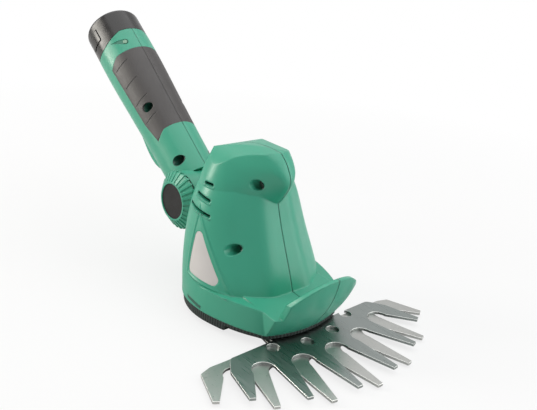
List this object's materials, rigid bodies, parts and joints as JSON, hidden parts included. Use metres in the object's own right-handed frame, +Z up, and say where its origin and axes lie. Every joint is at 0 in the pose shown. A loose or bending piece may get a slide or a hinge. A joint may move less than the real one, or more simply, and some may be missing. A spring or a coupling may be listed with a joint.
{
  "type": "cordless grass shears",
  "caption": "Cordless grass shears: a beaked clamshell head with a blade guard over fanned steel shear blades, and a tilting stick handle with a plug-in battery",
  "frame": {"origin": "on the blade pivot's axis, in the flat underside of the sole plate that the tool stands on", "axes": "+X forward along the blades, +Y to the user's left, +Z up"},
  "size_m": [0.2925, 0.1616, 0.1516],
  "materials": {
    "shell_green": "satin moulded plastic",
    "base_green": "satin moulded plastic",
    "grip_rubber": "soft matt rubber",
    "blade_steel": "ground and brushed",
    "plate_steel": "plain steel",
    "screw_steel": "zinc plated",
    "gear_nylon": "natural nylon",
    "pinion_brass": "machined",
    "motor_steel": "plated steel",
    "black_plastic": "fine grain",
    "battery_black": "gloss",
    "cell_wrap": "wrapped cells",
    "contact_brass": "bright",
    "plunger_red": "moulded",
    "label_pale": "bare printed foil place",
    "lamp_clear": "clear dome"
  },
  "bodies": {
    "head": {"housing_right": "shell_green", "housing_left": "shell_green", "label_plate": "label_pale", "housing_screws": "screw_steel", "base_plate": "base_green", "sole_plate": "plate_steel", "sole_screws": "screw_steel", "blade_rivets": "plate_steel", "lower_blade": "blade_steel", "blade_pivot": "plate_steel", "pivot_nut": "plate_steel", "gear_plate": "plate_steel", "gear_plate_screws": "screw_steel", "gear_shafts": "plate_steel", "motor_can": "motor_steel"},
    "blade": {"upper_blade": "blade_steel", "blade_yoke": "plate_steel"},
    "crank": {"crank_gear": "gear_nylon"},
    "idler": {"idler_gear": "gear_nylon"},
    "rotor": {"motor_armature": "motor_steel", "motor_pinion": "pinion_brass"},
    "handle": {"handle_right": "shell_green", "handle_left": "shell_green", "grip_right": "grip_rubber", "grip_left": "grip_rubber", "handle_screws": "screw_steel", "far_cap": "black_plastic", "hinge_bush": "black_plastic", "hinge_bolt": "screw_steel", "switch_body": "black_plastic", "contact_block": "black_plastic", "lamp_lens": "lamp_clear", "trigger_pin": "screw_steel"},
    "knob": {"clamp_knob": "shell_green", "knob_cap": "black_plastic"},
    "trigger": {"trigger": "shell_green"},
    "plunger": {"switch_plunger": "plunger_red"},
    "battery": {"battery_case": "battery_black", "battery_cells": "cell_wrap", "battery_contacts": "contact_brass"},
    "latch_r": {"latch_right": "battery_black"},
    "latch_l": {"latch_left": "battery_black"}
  },
  "joints": [
    {"name": "blade_swing", "type": "hinge", "parent": "head", "child": "blade", "pos_m": [0, 0, 0], "axis": [0, 0, 1], "range_deg": [-9.35, 6.25]},
    {"name": "crank_spin", "type": "hinge", "parent": "head", "child": "crank", "pos_m": [-0.02, 0, 0.012], "axis": [0, 0, 1], "continuous": true},
    {"name": "idler_spin", "type": "hinge", "parent": "head", "child": "idler", "pos_m": [-0.01309, 0.01553, 0.015], "axis": [0, 0, 1], "continuous": true},
    {"name": "rotor_spin", "type": "hinge", "parent": "head", "child": "rotor", "pos_m": [-0.004, 0, 0.04], "axis": [0, 0, 1], "continuous": true},
    {"name": "handle_tilt", "type": "hinge", "parent": "head", "child": "handle", "pos_m": [-0.0505, 0, 0.0513], "axis": [0, 1, 0], "range_deg": [-30, 30]},
    {"name": "knob_turn", "type": "hinge", "parent": "handle", "child": "knob", "pos_m": [-0.0505, -0.0218, 0.0513], "axis": [0, -1, 0], "range_deg": [0, 90]},
    {"name": "trigger_squeeze", "type": "hinge", "parent": "handle", "child": "trigger", "pos_m": [-0.13059, 0, 0.09042], "axis": [0, -1, 0], "range_deg": [0, 4.2], "stiffness_Nm_per_rad": 0.6, "springref_deg": -5.73},
    {"name": "plunger_press", "type": "slide", "parent": "handle", "child": "plunger", "axis": [0.5764, 0, 0.8171], "range_m": [0, 0.0027]},
    {"name": "battery_slide", "type": "slide", "parent": "handle", "child": "battery", "axis": [-0.8171, 0, 0.5764], "range_m": [0, 0.05]},
    {"name": "latch_right_press", "type": "slide", "parent": "battery", "child": "latch_r", "axis": [0, 1, 0], "range_m": [0, 0.0012], "stiffness_N_per_m": 400, "springref_m": -0.002},
    {"name": "latch_left_press", "type": "slide", "parent": "battery", "child": "latch_l", "axis": [0, -1, 0], "range_m": [0, 0.0012], "stiffness_N_per_m": 400, "springref_m": -0.002}
  ],
  "couplings": [
    {"joint": "idler_spin", "follows": "crank_spin", "ratio": -2.4},
    {"joint": "rotor_spin", "follows": "crank_spin", "ratio": 6.24},
    {"joint": "plunger_press", "follows": "trigger_squeeze", "m_per_rad": 0.0355}
  ]
}
